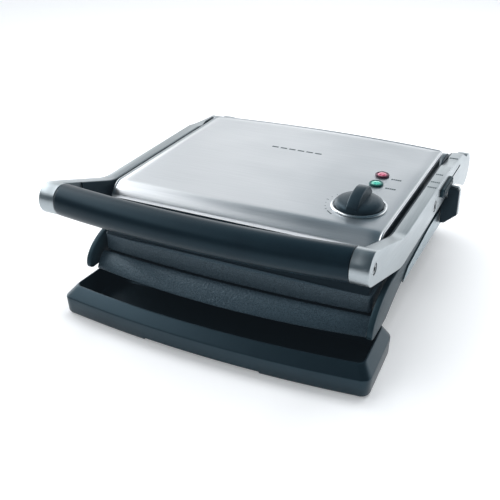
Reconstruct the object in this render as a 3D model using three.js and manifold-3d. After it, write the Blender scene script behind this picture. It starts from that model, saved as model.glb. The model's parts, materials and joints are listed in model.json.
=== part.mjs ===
// Panini press with a floating ribbed lid, two cast arms, a bowed handle and a pull-out drip tray.
// Millimetres, +Z up. Modelled about its symmetry plane x = 0 with the user at -Y, then the whole
// group is shifted so that the origin is at the middle of the footprint, on the table.
import * as THREE from "three";
import { mergeVertices } from "three/addons/utils/BufferGeometryUtils.js";
import Module from "manifold-3d";

const wasm = await Module();
wasm.setup();

// ---------------------------------------------------------------- driving dimensions
const CLEAR = 0.4; // gap between pieces that touch
const BORE_CLEAR = 0.5; // radial gap of a bore round its own pin

const SPAN = 372; // over the outer faces of the two arms
const ARM_THICK = 14;
const LINER_THICK = 1.6;
const LINER_RISE = 1; // liner's rear end above the arm
const LID_SLOT = 5; // open slot between lid and arm liner
const PANEL_INSET = 8; // side panel inside the arm's outer face
const PANEL_THICK = 6.6;
const STRIP_THICK = 1.4;

const LID_DEPTH = 266; // front edge of the lid to its rear edge
const LID_FRONT = -110;
const REAR_BOW = 9; // the lid's rear edge bows back this far
const HANDLE_REACH = 83; // handle axis in front of the lid
const HANDLE_BOW = 10.5;
const GRIP_RADIUS = 17.6;
const CORE_RADIUS = 7;
const COLLAR_LENGTH = 5.4; // round arm end inside the arm's inner face
const HINGE_SETBACK = 56; // hinge axis behind the lid
const LOBE_RADIUS = 22;

const FOOT_HEIGHT = 8;
const PAN_HEIGHT = 33.6;
const RAIL_THICK = 4;
const PLATE_VALLEY = 7.2; // lower plate, underside to groove bottom
const RIB_HEIGHT = 2.8;
const RIB_PITCH = 11.6;
const RIB_WIDTH = 4;
const PLATE_GAP = 4.6; // between the two sets of ribs when shut
const UPPER_PLATE_HEIGHT = 20.5;
const FACE_BOW = 7; // the plates' front faces bow forward this far
const LID_HEIGHT = 58.1; // upper plate's top to the lid's top
const SHEET = 1.5; // lid cover sheet
const WALL = 2.6; // moulded walls
const ARM_HEIGHT = 34;
const ARM_DROP = 3; // arm top below the lid top
const PIVOT_DROP = 24; // lid pivot below the lid top
const HANDLE_RISE = 14; // handle axis above the lid top
const HINGE_DROP = 44.6; // hinge axis below the lid top

const TRAY_DEPTH = 106;
const TRAY_OVERHANG = 4; // tray's front corners outside the arm's outer face
const TRAY_TAPER = 0.03; // share of the tray's width lost from its front to its rear
const TRAY_HEIGHT = 34;
const TRAY_WALL_HEIGHT = 22.5;
const TRAY_BEVEL = 12; // bevel at the front, seen from above
const TRAY_SIDE_BEVEL = 9.5; // the same at the sides
const TRAY_BOW = 11;
const TRAY_CORNER = 13;
const TRAY_FLOOR_GAP = 0.6; // tray underside above the table

const PIN_RADIUS = 6;
const PIVOT_RADIUS = 4;
const KNOB_RADIUS = 27.5;
const SHAFT_RADIUS = 3;
const LENS_RADIUS = 5.6;
const ELEMENT_RADIUS = 3.2;
const PILLAR_WIDTH = 14.3;
const PILLAR_DEPTH = 5;
const PILLAR_PLATE = 3; // bright plate behind the pillar
const PILLAR_PLATE_MARGIN = 1.4;
const CLIP_LENGTH = 48;
const CLIP_TRAVEL = 57;

// ---------------------------------------------------------------- derived stations
const armOut = SPAN / 2;
const armIn = armOut - ARM_THICK;
const linerIn = armIn - CLEAR - LINER_THICK;
const lidHalf = linerIn - LID_SLOT;
const skirtHalf = lidHalf - SHEET - CLEAR;
const panelOut = armOut - PANEL_INSET;
const panelIn = panelOut - PANEL_THICK;
const plateHalf = panelIn - 2.9;
const upperHalf = plateHalf - 1.7;
const panHalf = lidHalf - 14.6;
const gripHalf = armIn - COLLAR_LENGTH;
const bracketOut = linerIn - 4;
const bracketIn = bracketOut - 14;

const lidRear = LID_FRONT + LID_DEPTH;
const lidMiddle = (LID_FRONT + lidRear) / 2;
const handleY = LID_FRONT - HANDLE_REACH;
const hingeY = lidRear + HINGE_SETBACK;
const plateFront = LID_FRONT - 19; // upper plate's face at its corners
const plateRear = lidRear - 8;
const panFront = LID_FRONT + 14;
const trayHalf = armOut + TRAY_OVERHANG;
const rearPanelY = lidRear + 0.5;
const rearEnd = hingeY + 1;

const panTop = FOOT_HEIGHT + PAN_HEIGHT;
const railBottom = panTop + CLEAR;
const railTop = railBottom + RAIL_THICK;
const plateBottom = railTop + CLEAR;
const valleyZ = plateBottom + PLATE_VALLEY;
const ribTopZ = valleyZ + RIB_HEIGHT;
const upperZ = ribTopZ + PLATE_GAP;
const upperTop = upperZ + UPPER_PLATE_HEIGHT;
const skirtZ = upperTop + CLEAR;
const lidTop = upperTop + LID_HEIGHT;
const armTop = lidTop - ARM_DROP;
const armBottom = armTop - ARM_HEIGHT;
const handleZ = lidTop + HANDLE_RISE;
const hingeZ = lidTop - HINGE_DROP;
const panelTop = armBottom - 17;
const pivotY = lidMiddle + 14;
const pivotZ = lidTop - PIVOT_DROP;
const coverTop = lidTop;
const coverUnder = lidTop - SHEET;

const dial = { x: lidHalf - 44.1, y: lidMiddle - 70 };
const lights = [
  { name: "power", x: dial.x - 2.5, y: dial.y + 91, color: 0xb3202a },
  { name: "ready", x: dial.x - 1.3, y: dial.y + 64, color: 0x0c9a72 },
];
const sides = [
  ["left", -1],
  ["right", 1],
];

// ---------------------------------------------------------------- finishes
function finish(color, roughness, metalness) {
  return new THREE.MeshStandardMaterial({ color, roughness, metalness });
}
const steel = finish(0xc3cace, 0.34, 1);
const castMetal = finish(0xaab4b9, 0.42, 1);
const black = finish(0x1b242a, 0.5, 0);
const gripBlack = finish(0x202b32, 0.38, 0);
const greyMoulding = finish(0x4a5f68, 0.45, 0);
const nonStick = finish(0x2a363d, 0.55, 0.3);
const rubber = finish(0x14181a, 0.9, 0);
const darkMetal = finish(0x6d7478, 0.5, 1);
const whiteCeramic = finish(0xd9d6cc, 0.7, 0);

// ---------------------------------------------------------------- geometry helpers
function outline(points) {
  return new THREE.Shape(points.map(([a, b]) => new THREE.Vector2(a, b)));
}

// Shape drawn in (y, z), extruded along x.
function prismX(shape, xa, xb, options = {}) {
  const geometry = new THREE.ExtrudeGeometry(shape, {
    depth: Math.abs(xb - xa),
    bevelEnabled: false,
    curveSegments: 8,
    ...options,
  });
  const toWorld = new THREE.Matrix4().makeBasis(
    new THREE.Vector3(0, 1, 0),
    new THREE.Vector3(0, 0, 1),
    new THREE.Vector3(1, 0, 0),
  );
  return geometry.applyMatrix4(toWorld).translate(Math.min(xa, xb), 0, 0);
}

// Shape drawn in (x, z), extruded along y from ya to yb.
function prismY(shape, ya, yb) {
  const geometry = new THREE.ExtrudeGeometry(shape, { depth: yb - ya, bevelEnabled: false });
  const toWorld = new THREE.Matrix4().makeBasis(
    new THREE.Vector3(1, 0, 0),
    new THREE.Vector3(0, 0, 1),
    new THREE.Vector3(0, -1, 0),
  );
  return geometry.applyMatrix4(toWorld).translate(0, yb, 0);
}

// Shape drawn in (x, y), extruded up from za to zb.
function prismZ(shape, za, zb, curveSegments = 6) {
  const options = { depth: zb - za, bevelEnabled: false, curveSegments };
  return new THREE.ExtrudeGeometry(shape, options).translate(0, 0, za);
}

function block(xa, xb, ya, yb, za, zb) {
  const geometry = new THREE.BoxGeometry(Math.abs(xb - xa), yb - ya, zb - za);
  return geometry.translate((xa + xb) / 2, (ya + yb) / 2, (za + zb) / 2);
}

function rodX(radius, xa, xb, y, z, facets = 20) {
  const geometry = new THREE.CylinderGeometry(radius, radius, Math.abs(xb - xa), facets);
  return geometry.rotateZ(Math.PI / 2).translate((xa + xb) / 2, y, z);
}

function rodZ(radius, x, y, za, zb, facets = 24) {
  const geometry = new THREE.CylinderGeometry(radius, radius, zb - za, facets);
  return geometry.rotateX(Math.PI / 2).translate(x, y, (za + zb) / 2);
}

// Closed (radius, height) profile turned round a vertical axis.
function turned(profile, x, y, facets = 32) {
  const points = profile.map(([r, h]) => new THREE.Vector2(r, h));
  return new THREE.LatheGeometry(points, facets).rotateX(Math.PI / 2).translate(x, y, 0);
}

// Rectangle with rounded corners whose rear and front edges bow outwards.
function plan(halfWidth, rear, front, radius, rearBow = 0, frontBow = 0) {
  const shape = new THREE.Shape();
  shape.moveTo(-halfWidth, front + radius);
  shape.quadraticCurveTo(-halfWidth, front, -halfWidth + radius, front);
  shape.quadraticCurveTo(0, front - 2 * frontBow, halfWidth - radius, front);
  shape.quadraticCurveTo(halfWidth, front, halfWidth, front + radius);
  shape.lineTo(halfWidth, rear - radius);
  shape.quadraticCurveTo(halfWidth, rear, halfWidth - radius, rear);
  shape.quadraticCurveTo(0, rear + 2 * rearBow, -halfWidth + radius, rear);
  shape.quadraticCurveTo(-halfWidth, rear, -halfWidth, rear - radius);
  shape.closePath();
  return shape;
}

function movePoints(geometry, move) {
  const position = geometry.attributes.position;
  const point = new THREE.Vector3();
  for (let i = 0; i < position.count; i += 1) {
    point.fromBufferAttribute(position, i);
    move(point);
    position.setXYZ(i, point.x, point.y, point.z);
  }
  return geometry;
}

function solid(geometry) {
  const bare = geometry.clone();
  bare.deleteAttribute("normal");
  bare.deleteAttribute("uv");
  const merged = mergeVertices(bare, 1e-4);
  const vertProperties = Float32Array.from(merged.attributes.position.array);
  const triVerts = Uint32Array.from(merged.index.array);
  return new wasm.Manifold(new wasm.Mesh({ numProp: 3, vertProperties, triVerts }));
}

function geometryOf(manifold) {
  const mesh = manifold.getMesh();
  const geometry = new THREE.BufferGeometry();
  geometry.setAttribute("position", new THREE.BufferAttribute(mesh.vertProperties, 3));
  geometry.setIndex(new THREE.BufferAttribute(mesh.triVerts, 1));
  geometry.computeVertexNormals();
  return geometry;
}

function joined(base, ...others) {
  return geometryOf(others.reduce((sum, next) => sum.add(solid(next)), solid(base)));
}

function cut(base, ...tools) {
  return geometryOf(tools.reduce((rest, tool) => rest.subtract(solid(tool)), solid(base)));
}

function common(base, tool) {
  return geometryOf(solid(base).intersect(solid(tool)));
}

function place(group, name, material, geometry) {
  const mesh = new THREE.Mesh(geometry, material);
  mesh.name = name;
  group.add(mesh);
  return mesh;
}

// ---------------------------------------------------------------- base casing
function basePan(group) {
  const taper = 0.9;
  const narrow = (geometry) =>
    movePoints(geometry, (p) => {
      if (p.z < panTop - 1) p.x *= taper;
    });
  const outer = narrow(prismZ(plan(panHalf, rearEnd, panFront, 14), FOOT_HEIGHT, panTop));
  const inside = plan(panHalf - WALL, rearEnd - WALL, panFront + WALL, 12);
  const inner = narrow(prismZ(inside, FOOT_HEIGHT + WALL, panTop + 1));
  place(group, "base_pan", black, cut(outer, inner));
}

function feet(group) {
  const rows = [
    ["front", panFront + 20],
    ["rear", rearEnd - 24],
  ];
  const profile = [
    [0, 0],
    [11, 0],
    [12.5, 1.5],
    [12, FOOT_HEIGHT - CLEAR],
    [0, FOOT_HEIGHT - CLEAR],
  ];
  for (const [row, y] of rows) {
    for (const [side, s] of sides) {
      place(group, `foot_${row}_${side}`, rubber, turned(profile, s * (panHalf - 34), y, 20));
    }
  }
}

function rails(group) {
  const innerX = panHalf - 6;
  const railFront = LID_FRONT;
  const frontBar = railFront + 16;
  const rearBar = plateRear - 12;
  for (const [side, s] of sides) {
    const outerX = side === "left" ? -panelIn + 7 : panelIn - 7;
    const rail = block(s * innerX, outerX, railFront, rearPanelY - CLEAR, railBottom, railTop);
    place(group, `side_rail_${side}`, darkMetal, rail);
  }
  const barX = innerX - CLEAR;
  const front = block(-barX, barX, railFront, frontBar, railBottom, railTop);
  const rear = block(-barX, barX, rearBar, rearPanelY - CLEAR, railBottom, railTop);
  place(group, "cross_rail_front", darkMetal, front);
  place(group, "cross_rail_rear", darkMetal, rear);
}

const panelRear = lidRear + 4;
const noseY = LID_FRONT - 46;
const noseLow = panelTop - 40.6;
const panelLow = panelTop - 24.6; // panel's lower edge behind the nose
const panelRearLow = panelTop - 30.2;
function sidePanelShape() {
  const shape = new THREE.Shape();
  const low = noseLow;
  shape.moveTo(noseY + 7, low);
  shape.quadraticCurveTo(noseY, low, noseY, low + 6);
  shape.bezierCurveTo(noseY + 1, panelTop - 18, noseY + 25, panelTop - 3, noseY + 58, panelTop);
  shape.lineTo(panelRear - 10, panelTop);
  shape.quadraticCurveTo(panelRear, panelTop, panelRear, panelTop - 10);
  shape.lineTo(panelRear, panelRearLow);
  shape.lineTo(LID_FRONT + 53, panelLow);
  shape.quadraticCurveTo(LID_FRONT + 34, panelLow - 4, LID_FRONT, low);
  shape.closePath();
  return shape;
}

function sideStripShape() {
  return outline([
    [LID_FRONT + 54, panelLow + 1],
    [panelRear - 4, panelRearLow + 0.8],
    [panelRear - 4, panelTop - 3],
    [LID_FRONT + 157, panelTop - 4.9],
    [LID_FRONT + 132, panelTop - 7.5],
    [LID_FRONT + 74, panelTop - 13.5],
  ]);
}

function casing(group) {
  for (const [side, s] of sides) {
    place(group, `side_panel_${side}`, greyMoulding, prismX(sidePanelShape(), s * panelIn, s * panelOut));
    const inner = s * (panelOut + CLEAR);
    const strip = prismX(sideStripShape(), inner, inner + s * STRIP_THICK);
    place(group, `side_strip_${side}`, steel, strip);
  }
  const panelHalf = panelIn - CLEAR;
  const wall = block(-panelHalf, panelHalf, rearPanelY, panelRear - CLEAR, railBottom, panelTop);
  place(group, "rear_panel", black, wall);
}

const coverHalf = bracketIn - CLEAR;
const rearCoverFront = panelRear;
const rearCoverTop = hingeZ - 3;
function rearCover(group) {
  const shell = (inset) => {
    const front = rearCoverFront + inset;
    const rear = rearEnd - inset;
    const top = rearCoverTop - inset;
    const shape = new THREE.Shape();
    shape.moveTo(front, railBottom - (inset ? 1 : 0));
    shape.lineTo(rear, railBottom - (inset ? 1 : 0));
    shape.lineTo(rear, top - 22);
    shape.quadraticCurveTo(rear, top, rear - 22, top);
    shape.lineTo(front, top);
    shape.closePath();
    return prismX(shape, -coverHalf + inset, coverHalf - inset);
  };
  const glandHole = new THREE.CylinderGeometry(6.4, 6.4, 12, 20).translate(gland.x, rearEnd, gland.z);
  place(group, "rear_cover", black, cut(shell(0), shell(WALL), glandHole));
}

const gland = { x: coverHalf - 48, z: railBottom + 20 };
function electrics(group) {
  const profile = [
    [3.6, 0],
    [6, 0],
    [6, WALL + 2 * CLEAR],
    [10, WALL + 2 * CLEAR],
    [9, 8],
    [6.5, 14],
    [3.6, 14],
    [3.6, 0],
  ];
  const points = profile.map(([r, h]) => new THREE.Vector2(r, h));
  const ring = new THREE.LatheGeometry(points, 20);
  const glandMesh = place(group, "cord_gland", rubber, ring);
  glandMesh.position.set(gland.x, rearEnd - WALL - CLEAR, gland.z);
  const terminals = new THREE.BoxGeometry(34, 16, 14);
  const terminalMesh = place(group, "terminal_block", whiteCeramic, terminals);
  terminalMesh.position.set(gland.x - 40, rearCoverFront + 26, railBottom + 8);
}

// ---------------------------------------------------------------- plates and heating
function ribs(halfWidth, front, rear, rootZ, tipZ) {
  const count = Math.floor(halfWidth / RIB_PITCH);
  const root = RIB_WIDTH / 2;
  const tip = root - 0.7;
  const list = [];
  for (let i = -count; i <= count; i += 1) {
    const x = i * RIB_PITCH;
    const section = outline([
      [x - root, rootZ],
      [x + root, rootZ],
      [x + tip, tipZ],
      [x - tip, tipZ],
    ]);
    list.push(prismY(section, front, rear));
  }
  return list;
}

function lowerPlate(group) {
  const slabFront = plateFront + 17;
  const slab = prismZ(plan(plateHalf, plateRear, slabFront, 6), plateBottom, valleyZ);
  const rimOuter = prismZ(plan(plateHalf, plateRear, slabFront, 6), valleyZ - 1, ribTopZ);
  const openFront = slabFront - 20;
  const rimInner = prismZ(plan(plateHalf - 9, plateRear - 9, openFront, 6), valleyZ - 2, ribTopZ + 1);
  const shelf = valleyZ + 1.4;
  const crest = { y: plateFront - FACE_BOW - 2, z: upperZ - 1.7 };
  const tip = { y: plateFront - 33, z: valleyZ - 10.1 };
  const lip = new THREE.Shape();
  lip.moveTo(slabFront + 1, shelf);
  lip.lineTo(crest.y + 0.8, shelf);
  lip.lineTo(crest.y, crest.z);
  lip.bezierCurveTo(crest.y - 7, crest.z - 0.4, tip.y + 6, tip.z + 9, tip.y, tip.z);
  lip.lineTo(tip.y + 1.6, tip.z - 1.2);
  lip.bezierCurveTo(tip.y + 9, tip.z + 3.6, plateFront - 6, plateBottom + 2, slabFront + 1, plateBottom + 1);
  lip.closePath();
  const tipBow = 14.5;
  const spout = movePoints(prismX(lip, -plateHalf, plateHalf, { steps: 14 }), (p) => {
    const across = (p.x / plateHalf) ** 2;
    const behind = THREE.MathUtils.clamp((slabFront - p.y) / (slabFront - crest.y), 0, 1);
    const ahead = THREE.MathUtils.clamp((crest.y - p.y) / (crest.y - tip.y), 0, 1);
    p.y += across * (FACE_BOW * behind + (tipBow - FACE_BOW) * ahead);
  });
  const rim = cut(rimOuter, rimInner);
  const ribList = ribs(plateHalf - 14, slabFront + 6, plateRear - 14, valleyZ - 0.5, ribTopZ);
  place(group, "lower_plate", nonStick, joined(slab, rim, spout, ...ribList));
}

function upperPlate(group) {
  const face = plateFront;
  const planShape = plan(upperHalf, plateRear, face, 6, 0, FACE_BOW);
  const body = prismZ(planShape, upperZ, upperTop, 10);
  const floorTop = upperZ + 9;
  const pocket = prismZ(plan(upperHalf - 8, plateRear - 8, face + 10, 6), floorTop, upperTop + 1);
  const groove = upperZ + 0.4 + RIB_HEIGHT + 0.4;
  const recess = prismZ(plan(upperHalf - 9, plateRear - 9, face + 8, 6), upperZ - 1, groove);
  const dish = cut(body, pocket, recess);
  const ribList = ribs(upperHalf - 14, face + 14, plateRear - 14, groove + 0.5, upperZ + 0.4);
  place(group, "upper_plate", nonStick, joined(dish, ...ribList));
}

function heatingLoop(halfWidth, front, rear, z) {
  const points = [
    [-18, rear],
    [-halfWidth, rear],
    [-halfWidth, front],
    [halfWidth, front],
    [halfWidth, rear],
    [18, rear],
  ].map(([x, y]) => new THREE.Vector3(x, y, z));
  const radius = 26;
  const path = new THREE.CurvePath();
  let start = points[0];
  for (let i = 1; i < points.length - 1; i += 1) {
    const into = points[i].clone().sub(start).setLength(radius);
    const out = points[i + 1].clone().sub(points[i]).setLength(radius);
    const before = points[i].clone().sub(into);
    const after = points[i].clone().add(out);
    path.add(new THREE.LineCurve3(start, before));
    path.add(new THREE.QuadraticBezierCurve3(before, points[i], after));
    start = after;
  }
  path.add(new THREE.LineCurve3(start, points[points.length - 1]));
  const section = new THREE.Shape().absarc(0, 0, ELEMENT_RADIUS, 0, Math.PI * 2);
  return new THREE.ExtrudeGeometry(section, { steps: 36, extrudePath: path, curveSegments: 4 });
}

function heating(group, prefix, halfWidth, z, reflectorZ) {
  const front = LID_FRONT + 34;
  const rear = plateRear - 34;
  const loop = heatingLoop(halfWidth - 34, front, rear, z);
  place(group, `${prefix}_heating_element`, darkMetal, loop);
  const sheet = prismZ(plan(halfWidth - 14, rear + 14, front - 14, 10), reflectorZ, reflectorZ + 1.2);
  place(group, `${prefix}_reflector`, steel, sheet);
}

// ---------------------------------------------------------------- hinge and height stop
function hinge(group) {
  const foot = rearCoverFront + CLEAR;
  const radius = LOBE_RADIUS - 5;
  for (const [side, s] of sides) {
    const shape = new THREE.Shape();
    shape.moveTo(foot, railBottom);
    shape.lineTo(hingeY + radius * 0.6, railBottom);
    shape.lineTo(hingeY + radius, hingeZ);
    shape.absarc(hingeY, hingeZ, radius, 0, Math.PI * 0.8, false);
    shape.lineTo(foot, panelTop - 6);
    shape.closePath();
    const plate = prismX(shape, s * bracketIn, s * bracketOut, { curveSegments: 14 });
    const bore = rodX(PIN_RADIUS + BORE_CLEAR, s * (bracketIn - 1), s * (bracketOut + 1), hingeY, hingeZ);
    place(group, `hinge_bracket_${side}`, castMetal, cut(plate, bore));
    const pin = rodX(PIN_RADIUS, s * (bracketIn + 1), s * (armOut - 3.5), hingeY, hingeZ);
    place(group, `hinge_pin_${side}`, steel, pin);
    const ring = rodX(12, s * (bracketOut + CLEAR), s * (linerIn - CLEAR), hingeY, hingeZ);
    const hole = rodX(PIN_RADIUS + BORE_CLEAR, s * bracketOut, s * armIn, hingeY, hingeZ);
    place(group, `hinge_washer_${side}`, darkMetal, cut(ring, hole));
  }
}

const clipZ = pivotZ + 1.5; // underside of the clip, just above the pillar
const pillarY = pivotY + 64;
function stopPillar(group) {
  const outer = armOut + PILLAR_WIDTH;
  const side = armOut + CLEAR + 0.2;
  const root = panelOut + CLEAR;
  const top = clipZ - 4;
  const shape = (grow) =>
    outline([
      [root, panelTop - 22],
      [armOut, panelTop - 21],
      [outer + grow, panelTop - 8],
      [outer + grow, top - 3.4],
      [outer - 3 + grow, top + grow],
      [side, top + grow],
      [side, armBottom - 4],
      [root, armBottom - 4],
    ]);
  const rearFace = pillarY + PILLAR_DEPTH;
  const pillar = cut(prismY(shape(0), pillarY, rearFace), stripPocket());
  const plateFace = rearFace + CLEAR;
  const plateShape = shape(PILLAR_PLATE_MARGIN);
  const plate = cut(prismY(plateShape, plateFace, plateFace + PILLAR_PLATE), stripPocket());
  place(group, "stop_pillar", black, pillar);
  place(group, "stop_pillar_cover", steel, plate);
}

// Room for the side strip where the pillar's root reaches the side panel.
function stripPocket() {
  const inner = panelOut;
  return prismX(sideStripShape(), inner, inner + 2 * CLEAR + STRIP_THICK);
}

// ---------------------------------------------------------------- arms, handle and clip
const armEndRadius = GRIP_RADIUS - 0.2;
function armShape(shrink = 0) {
  const r = armEndRadius - shrink;
  const elbow = LID_FRONT + 15;
  const top = armTop - shrink;
  const bottom = armBottom + shrink;
  const rear = lidRear;
  const lobe = LOBE_RADIUS - shrink;
  const shape = new THREE.Shape();
  shape.moveTo(handleY - r * 0.33, handleZ - r * 0.944);
  shape.lineTo(elbow - 12, bottom + 4);
  shape.quadraticCurveTo(elbow, bottom, elbow + 12, bottom);
  shape.lineTo(rear - 40, bottom);
  shape.quadraticCurveTo(rear - 16, bottom, rear + 6, bottom - 8);
  shape.lineTo(hingeY - lobe * 0.574, hingeZ - lobe * 0.819);
  shape.absarc(hingeY, hingeZ, lobe, Math.PI * 1.306, Math.PI * 0.6, false);
  shape.lineTo(rear + 22, top - 7);
  shape.quadraticCurveTo(rear - 20, top - 5, rear - 46, top);
  shape.lineTo(elbow + 14, top);
  shape.quadraticCurveTo(elbow + 2, top, elbow - 12, top + 5);
  shape.lineTo(handleY + r * 0.352, handleZ + r * 0.936);
  shape.absarc(handleY, handleZ, r, Math.PI * 0.386, Math.PI * 1.392, false);
  shape.closePath();
  return shape;
}

const slotZ = clipZ + 2.2;
const slotFront = pillarY - 38;
const slotRear = slotFront + CLIP_LENGTH - 8 + CLIP_TRAVEL + 2;
function arm(side, s) {
  const plate = prismX(armShape(), s * armIn, s * armOut, { curveSegments: 9 });
  const collar = rodX(armEndRadius, s * gripHalf, s * (armIn + 1), handleY, handleZ, 28);
  const screwBore = rodX(3.4, s * (gripHalf - 1), s * (armOut + 1), handleY, handleZ, 16);
  const screwSeat = rodX(5.8, s * (armOut - 3), s * (armOut + 1), handleY, handleZ, 20);
  const pivotBore = rodX(PIVOT_RADIUS + BORE_CLEAR, s * (armIn - 1), s * (armOut + 1), pivotY, pivotZ);
  const pivotSeat = rodX(6.8, s * (armOut - 3), s * (armOut + 1), pivotY, pivotZ);
  const pinBore = rodX(PIN_RADIUS + BORE_CLEAR, s * (armIn - 1), s * (armOut - 3), hingeY, hingeZ);
  const tools = [screwBore, screwSeat, pivotBore, pivotSeat, pinBore];
  if (side === "right") {
    tools.push(block(armOut - 6, armOut + 1, slotFront, slotRear, slotZ - 1.4, slotZ + 1.4));
  }
  return cut(joined(plate, collar), ...tools);
}

function arms(group) {
  for (const [side, s] of sides) {
    place(group, `arm_${side}`, castMetal, arm(side, s));
    const frontEnd = block(s * (linerIn - 1), s * armIn, handleY - 40, LID_FRONT - 44, 0, 300);
    const lobeEnd = block(s * (linerIn - 1), s * armIn, lidRear + 24, hingeY + 60, 0, 300);
    const raised = outline([
      [lidRear - 52, armTop - 8],
      [lidRear + 8, armTop - 12],
      [lidRear - 5, armTop + LINER_RISE],
      [lidRear - 26, armTop + LINER_RISE],
      [lidRear - 34, armTop - 2],
    ]);
    const liner = joined(
      prismX(armShape(1.2), s * linerIn, s * (armIn - CLEAR)),
      prismX(raised, s * linerIn, s * (armIn - CLEAR)),
    );
    const hole = rodX(PIVOT_RADIUS + BORE_CLEAR, s * (linerIn - 1), s * armIn, pivotY, pivotZ);
    place(group, `arm_liner_${side}`, black, cut(liner, frontEnd, lobeEnd, hole));
    const screwHead = rodX(5.2, s * (armOut - 3 + CLEAR), s * (armOut - 0.4), handleY, handleZ);
    const screwShank = rodX(3, s * (gripHalf - 14), s * (armOut - 2), handleY, handleZ, 16);
    place(group, `handle_screw_${side}`, darkMetal, joined(screwHead, screwShank));
    const boltHead = rodX(6.2, s * (armOut - 3 + CLEAR), s * (armOut - 0.2), pivotY, pivotZ);
    const boltShank = rodX(PIVOT_RADIUS, s * (skirtHalf - 12), s * (armOut - 2), pivotY, pivotZ);
    place(group, `lid_pivot_bolt_${side}`, darkMetal, joined(boltHead, boltShank));
    const spacer = rodX(8, s * (lidHalf + 1), s * (linerIn - CLEAR), pivotY, pivotZ);
    const through = rodX(PIVOT_RADIUS + BORE_CLEAR, s * lidHalf, s * armIn, pivotY, pivotZ);
    place(group, `pivot_spacer_${side}`, black, cut(spacer, through));
  }
}

function bowedPath(halfLength) {
  const lift = (x) => handleY - HANDLE_BOW * (1 - (x / gripHalf) ** 2);
  const end = lift(halfLength);
  const control = 2 * lift(0) - end;
  return new THREE.QuadraticBezierCurve3(
    new THREE.Vector3(-halfLength, end, handleZ),
    new THREE.Vector3(0, control, handleZ),
    new THREE.Vector3(halfLength, end, handleZ),
  );
}

function handle(group) {
  const gripLength = gripHalf - CLEAR;
  const ring = new THREE.Shape().absarc(0, 0, GRIP_RADIUS, 0, Math.PI * 2);
  ring.holes.push(new THREE.Path().absarc(0, 0, CORE_RADIUS + BORE_CLEAR, 0, Math.PI * 2));
  const options = { steps: 14, extrudePath: bowedPath(gripLength), curveSegments: 10 };
  const long = new THREE.ExtrudeGeometry(ring, options);
  const squared = common(long, block(-gripLength, gripLength, handleY - 60, handleY + 60, 100, 260));
  place(group, "handle_grip", gripBlack, squared);
  const core = new THREE.Shape().absarc(0, 0, CORE_RADIUS, 0, Math.PI * 2);
  const coreLength = gripLength - 1;
  const rod = new THREE.ExtrudeGeometry(core, {
    steps: 12,
    extrudePath: bowedPath(coreLength),
    curveSegments: 5,
  });
  const threads = sides.map(([, s]) =>
    rodX(3.5, s * (gripHalf - 18), s * (gripHalf + 2), handleY, handleZ, 16),
  );
  place(group, "handle_core", darkMetal, cut(rod, ...threads));
}

function heightClip(group) {
  const face = armOut + CLEAR;
  const front = slotFront - 4;
  const pad = outline([
    [front, clipZ + 2],
    [front + 2, clipZ],
    [front + CLIP_LENGTH - 2, clipZ],
    [front + CLIP_LENGTH, clipZ + 2],
    [front + CLIP_LENGTH, clipZ + 8],
    [front + CLIP_LENGTH - 3, clipZ + 10.5],
    [front + 3, clipZ + 10.5],
    [front, clipZ + 8],
  ]);
  const tongueRear = slotFront + CLIP_LENGTH - 8;
  const tongue = block(armOut - 5, face + 1, slotFront + 1, tongueRear, slotZ - 1, slotZ + 1);
  place(group, "height_clip", black, joined(prismX(pad, face, face + 4.4), tongue));
}

// ---------------------------------------------------------------- lid
// The cover's side profile, from its front edge over the roll to the rear edge.
function coverProfile(inset) {
  const top = coverTop - inset;
  const front = LID_FRONT + inset;
  const rear = lidRear + REAR_BOW + 20;
  const shape = new THREE.Shape();
  shape.moveTo(front, coverTop - 17);
  shape.bezierCurveTo(front + 1, coverTop - 12, front + 8, top - 3.4, front + 17, top);
  shape.lineTo(rear, top);
  shape.lineTo(rear, coverTop - 60);
  shape.lineTo(front, coverTop - 60);
  shape.closePath();
  return shape;
}

function coverPlan(inset) {
  return plan(lidHalf - inset, lidRear - inset, LID_FRONT - 20, 9 - inset, REAR_BOW);
}

function lidCover(group) {
  const width = [-lidHalf - 1, lidHalf + 1];
  const block0 = common(prismX(coverProfile(0), ...width), prismZ(coverPlan(0), 0, 300, 14));
  const profile1 = prismX(coverProfile(SHEET), ...width);
  const block1 = common(profile1, prismZ(coverPlan(SHEET), -1, 300, 14));
  const shell = cut(block0, block1);
  const edge = outline([
    [LID_FRONT - 30, coverTop - 17],
    [LID_FRONT + 6, coverTop - 17],
    [LID_FRONT + 16, coverTop - 6],
    [lidRear + 40, coverTop - 6],
    [lidRear + 40, 0],
    [LID_FRONT - 30, 0],
  ]);
  const holes = lights.map(({ x, y }) => rodZ(LENS_RADIUS + 0.8, x, y, coverTop - 5, coverTop + 5));
  const shaftHole = rodZ(SHAFT_RADIUS + 2, dial.x, dial.y, coverTop - 5, coverTop + 5);
  place(group, "lid_cover", steel, cut(shell, prismX(edge, ...width), shaftHole, ...holes));
}

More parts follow.
